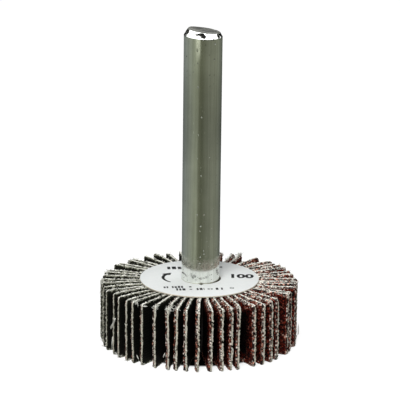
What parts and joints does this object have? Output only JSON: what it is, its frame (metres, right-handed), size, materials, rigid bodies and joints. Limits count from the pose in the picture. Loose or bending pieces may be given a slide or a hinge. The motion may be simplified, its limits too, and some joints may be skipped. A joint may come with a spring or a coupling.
{
  "type": "mounted flap wheel",
  "caption": "Abrasive flap wheel on a plain round shank: radial flaps of grit-coated cloth stand in a resin core under a round paper label.",
  "frame": {"origin": "on the shank's axis, in the plane on which the flaps' lower edges stand", "axes": "+Z along the shank towards its free end, -Y towards the front of the picture, +X to its right"},
  "size_m": [0.0312, 0.0311, 0.0506],
  "materials": {
    "shank": "ground and polished bar",
    "resin": "cast resin, satin",
    "label": "coated paper",
    "coated_cloth": "red-brown grit bonded on a dark olive-grey woven backing"
  },
  "bodies": {
    "root": {"shank": "shank", "resin_core": "resin", "label": "label", "flap_01": "coated_cloth", "flap_02": "coated_cloth", "flap_03": "coated_cloth", "flap_04": "coated_cloth", "flap_05": "coated_cloth", "flap_06": "coated_cloth", "flap_07": "coated_cloth", "flap_08": "coated_cloth", "flap_09": "coated_cloth", "flap_10": "coated_cloth", "flap_11": "coated_cloth", "flap_12": "coated_cloth", "flap_13": "coated_cloth", "flap_14": "coated_cloth", "flap_15": "coated_cloth", "flap_16": "coated_cloth", "flap_17": "coated_cloth", "flap_18": "coated_cloth", "flap_19": "coated_cloth", "flap_20": "coated_cloth", "flap_21": "coated_cloth", "flap_22": "coated_cloth", "flap_23": "coated_cloth", "flap_24": "coated_cloth", "flap_25": "coated_cloth", "flap_26": "coated_cloth", "flap_27": "coated_cloth", "flap_28": "coated_cloth", "flap_29": "coated_cloth", "flap_30": "coated_cloth", "flap_31": "coated_cloth", "flap_32": "coated_cloth", "flap_33": "coated_cloth", "flap_34": "coated_cloth", "flap_35": "coated_cloth", "flap_36": "coated_cloth", "flap_37": "coated_cloth", "flap_38": "coated_cloth", "flap_39": "coated_cloth", "flap_40": "coated_cloth", "flap_41": "coated_cloth", "flap_42": "coated_cloth", "flap_43": "coated_cloth", "flap_44": "coated_cloth", "flap_45": "coated_cloth", "flap_46": "coated_cloth", "flap_47": "coated_cloth", "flap_48": "coated_cloth", "flap_49": "coated_cloth", "flap_50": "coated_cloth", "flap_51": "coated_cloth", "flap_52": "coated_cloth"}
  },
  "joints": []
}
